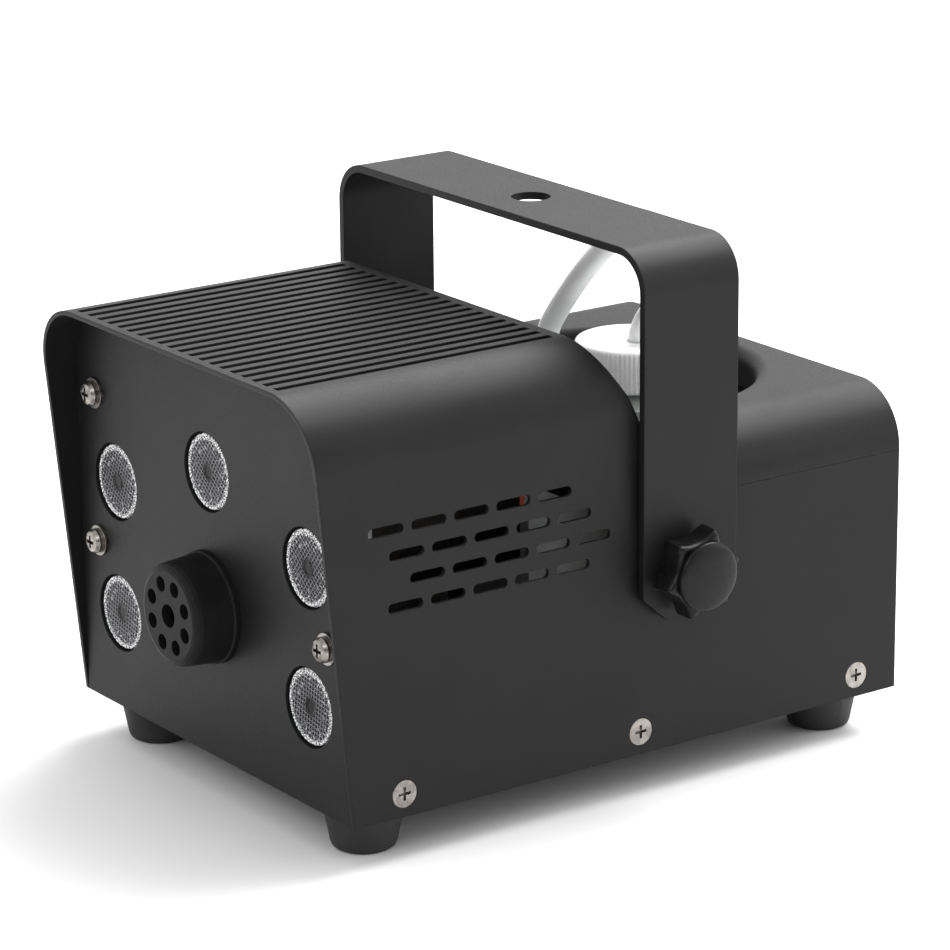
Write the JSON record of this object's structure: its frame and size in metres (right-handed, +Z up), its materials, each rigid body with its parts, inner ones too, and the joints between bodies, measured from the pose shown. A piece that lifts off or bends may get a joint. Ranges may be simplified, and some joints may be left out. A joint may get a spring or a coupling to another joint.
{
  "type": "fog machine",
  "caption": "Compact stage fog machine: black sheet casing with hooded front, lamps round a fog nozzle, top grille, side vents, tilting carry bracket and a fluid bottle in a rear well.",
  "frame": {"origin": "centre of the footprint, on the surface the four rubber feet stand on", "axes": "+Z up; the nozzle and lamps face -Y; +X is to the right when looking at the front from behind the camera facing +Y"},
  "size_m": [0.1606, 0.1923, 0.1454],
  "materials": {
    "black_powder_coat": "fine-textured matte powder coat",
    "screw_steel": "nickel plated",
    "rubber": "matte moulded rubber",
    "knob_plastic": "satin moulded plastic",
    "guard_plastic": "matte moulded plastic",
    "brass": "turned",
    "aluminium": "satin",
    "bright_steel": "zinc plated",
    "led_yellow": "phosphor",
    "lens_clear": "clear moulded lens",
    "coil_tape": "varnished tape",
    "ivory_plastic": "moulded",
    "hose_silicone": "translucent silicone",
    "bottle_plastic": "translucent polyethylene",
    "cap_white": "moulded polypropylene",
    "liner_foam": "foam",
    "filter_grey": "sintered",
    "board_green": "solder mask",
    "board_parts": "moulded cases",
    "fuse_glass": "clear glass with plated ends",
    "rocker_red": "moulded",
    "lamp_green": "translucent moulded",
    "wire_brown": "PVC insulation"
  },
  "bodies": {
    "casing": {"base_tray": "black_powder_coat", "front_panel": "black_powder_coat", "rear_panel": "black_powder_coat", "main_cover": "black_powder_coat", "rear_deck": "black_powder_coat", "step_panel": "black_powder_coat", "side_screws": "screw_steel", "front_screws": "screw_steel", "front_washers": "screw_steel", "rear_screws": "screw_steel", "rubber_feet": "rubber", "foot_screws": "screw_steel", "friction_washers": "rubber", "pivot_nuts": "screw_steel", "nozzle_guard": "guard_plastic", "nozzle": "brass", "heater_block": "aluminium", "heating_elements": "bright_steel", "thermostat": "bright_steel", "heater_brackets": "bright_steel", "heat_shield": "bright_steel", "led_board": "aluminium", "led_chips": "led_yellow", "lens_holders": "guard_plastic", "led_lenses": "lens_clear", "pump_coil": "coil_tape", "pump_yoke": "bright_steel", "pump_inlet": "ivory_plastic", "pump_outlet": "brass", "pump_spring": "bright_steel", "pump_mounts": "rubber", "delivery_tube": "hose_silicone", "bottle": "bottle_plastic", "hose_bush": "cap_white", "feed_hose": "hose_silicone", "pickup_filter": "filter_grey", "hose_clip": "rubber", "bottle_cradle": "guard_plastic", "control_board": "board_green", "board_parts": "board_parts", "inlet_socket": "guard_plastic", "inlet_pins": "bright_steel", "switch_body": "guard_plastic", "ready_lamp": "lamp_green", "mains_wires": "wire_brown"},
    "bracket": {"bracket": "black_powder_coat"},
    "washer_right": {"washer_right": "screw_steel"},
    "washer_left": {"washer_left": "screw_steel"},
    "knob_right": {"knob_right": "knob_plastic", "knob_cap_right": "knob_plastic", "knob_stud_right": "screw_steel"},
    "knob_left": {"knob_left": "knob_plastic", "knob_cap_left": "knob_plastic", "knob_stud_left": "screw_steel"},
    "cap_liner": {"cap_liner": "liner_foam"},
    "bottle_cap": {"bottle_cap": "cap_white"},
    "rocker": {"switch_rocker": "rocker_red"},
    "fuse_drawer": {"fuse_drawer": "guard_plastic", "glass_fuse": "fuse_glass"},
    "pump_plunger": {"pump_plunger": "bright_steel"}
  },
  "joints": [
    {"name": "bracket_tilt", "type": "hinge", "parent": "casing", "child": "bracket", "pos_m": [0, 0.01635, 0.0615], "axis": [1, 0, 0], "range_deg": [-12, 32]},
    {"name": "right_knob_travel", "type": "slide", "parent": "casing", "child": "washer_right", "axis": [1, 0, 0], "range_m": [0, 0.002]},
    {"name": "right_knob_turn", "type": "hinge", "parent": "washer_right", "child": "knob_right", "pos_m": [0.074, 0.01635, 0.0615], "axis": [1, 0, 0], "range_deg": [0, 720]},
    {"name": "left_knob_travel", "type": "slide", "parent": "casing", "child": "washer_left", "axis": [-1, 0, 0], "range_m": [0, 0.002]},
    {"name": "left_knob_turn", "type": "hinge", "parent": "washer_left", "child": "knob_left", "pos_m": [-0.074, 0.01635, 0.0615], "axis": [-1, 0, 0], "range_deg": [0, 720]},
    {"name": "bottle_cap_lift", "type": "slide", "parent": "casing", "child": "cap_liner", "axis": [0, 0, 1], "range_m": [0, 0.003]},
    {"name": "bottle_cap_turn", "type": "hinge", "parent": "cap_liner", "child": "bottle_cap", "pos_m": [0.0045, 0.04835, 0.1], "axis": [0, 0, 1], "range_deg": [0, 360]},
    {"name": "power_rocker", "type": "hinge", "parent": "casing", "child": "rocker", "pos_m": [-0.042, 0.09035, 0.036], "axis": [1, 0, 0], "range_deg": [0, 18]},
    {"name": "fuse_drawer_slide", "type": "slide", "parent": "casing", "child": "fuse_drawer", "axis": [0, 1, 0], "range_m": [0, 0.014]},
    {"name": "pump_plunger_stroke", "type": "slide", "parent": "casing", "child": "pump_plunger", "axis": [0, 1, 0], "range_m": [0, 0.0015], "stiffness_N_per_m": 400}
  ],
  "couplings": [
    {"joint": "right_knob_turn", "follows": "right_knob_travel", "rad_per_m": 6283.2},
    {"joint": "left_knob_turn", "follows": "left_knob_travel", "rad_per_m": 6283.2},
    {"joint": "bottle_cap_turn", "follows": "bottle_cap_lift", "rad_per_m": 2094.4}
  ]
}
